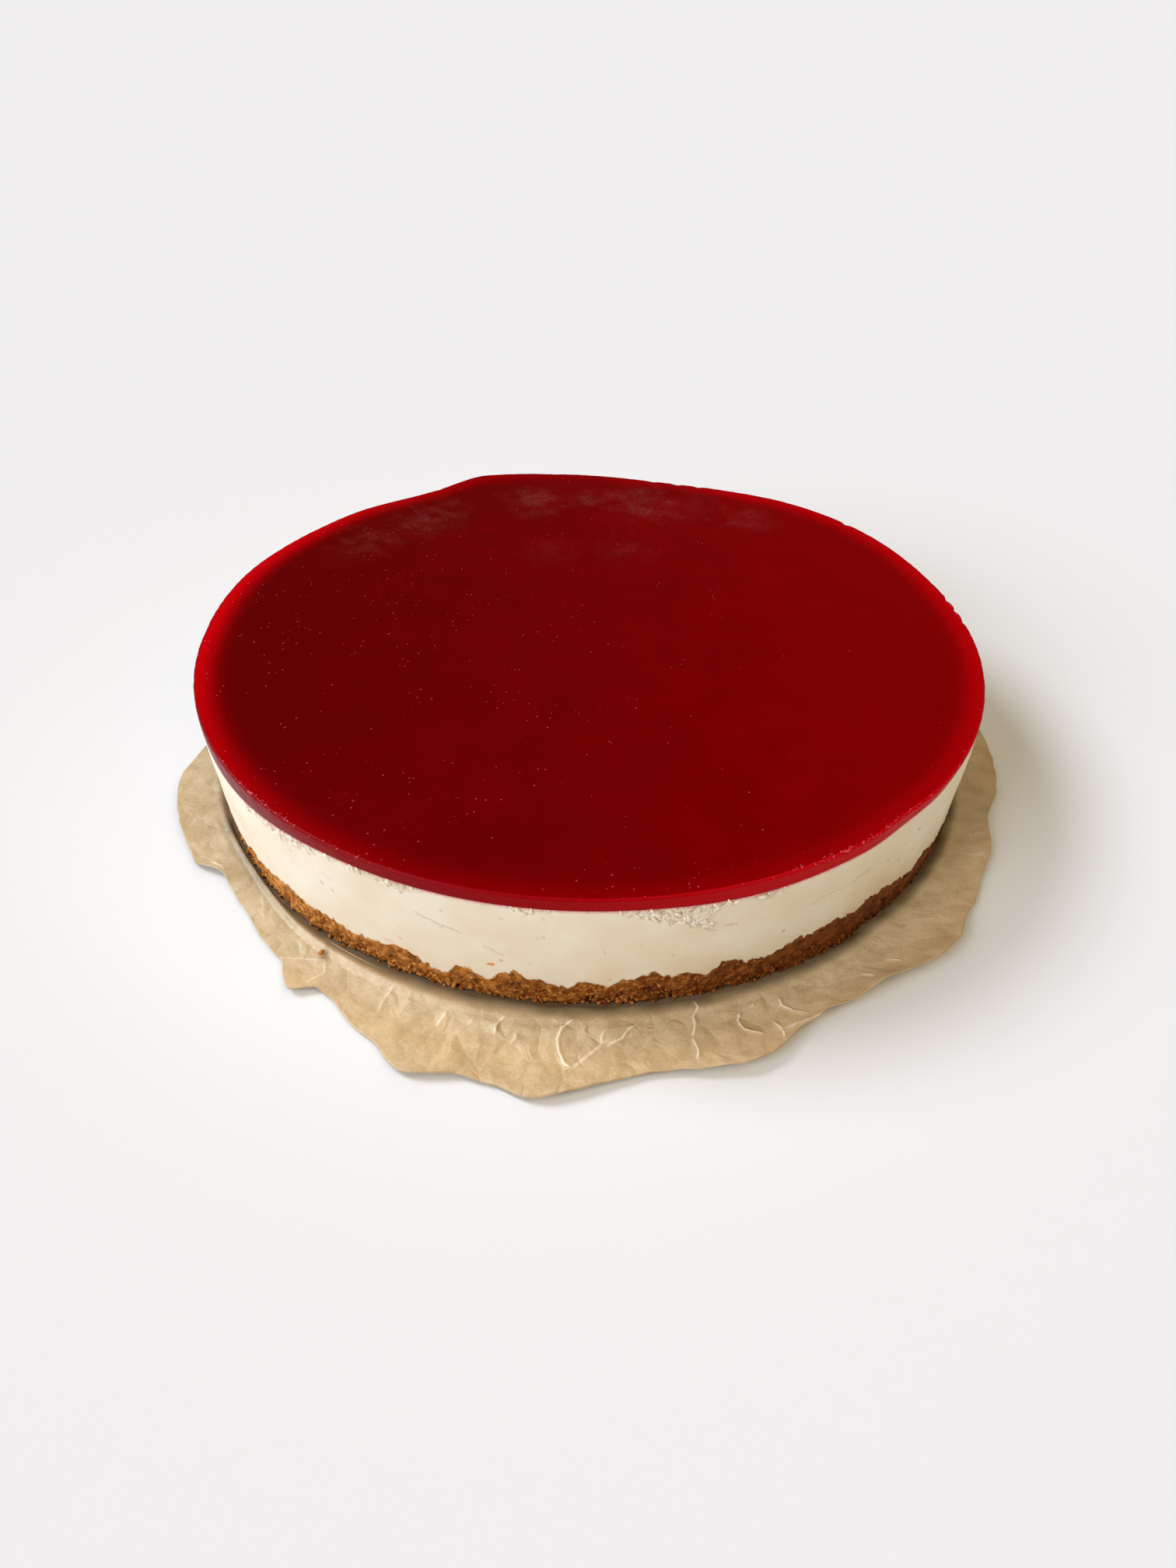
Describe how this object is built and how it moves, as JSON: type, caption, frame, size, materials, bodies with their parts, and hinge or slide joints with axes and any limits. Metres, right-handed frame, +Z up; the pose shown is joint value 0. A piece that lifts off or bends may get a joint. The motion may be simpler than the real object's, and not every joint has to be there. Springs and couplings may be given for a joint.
{
  "type": "cheesecake with red fruit jelly top",
  "caption": "Whole round set cheesecake on trimmed baking paper: crumbled biscuit base, pale cream filling and a glossy red fruit jelly top, uncut, to be served or shown.",
  "frame": {"origin": "middle of the flat underside of the baking paper, under the centre of the cake", "axes": "+Z up, out of the jelly top; -Y towards the front, where the crumb rises in a spike into the cream; +X to the right seen from the front"},
  "size_m": [0.2874, 0.3026, 0.0441],
  "materials": {
    "baking_paper": "satin",
    "biscuit_crumb": "matte",
    "cream": "satin",
    "jelly": "gloss"
  },
  "bodies": {
    "root": {"baking_paper": "baking_paper", "biscuit_base": "biscuit_crumb", "cream_filling": "cream", "fruit_jelly": "jelly"}
  },
  "joints": []
}
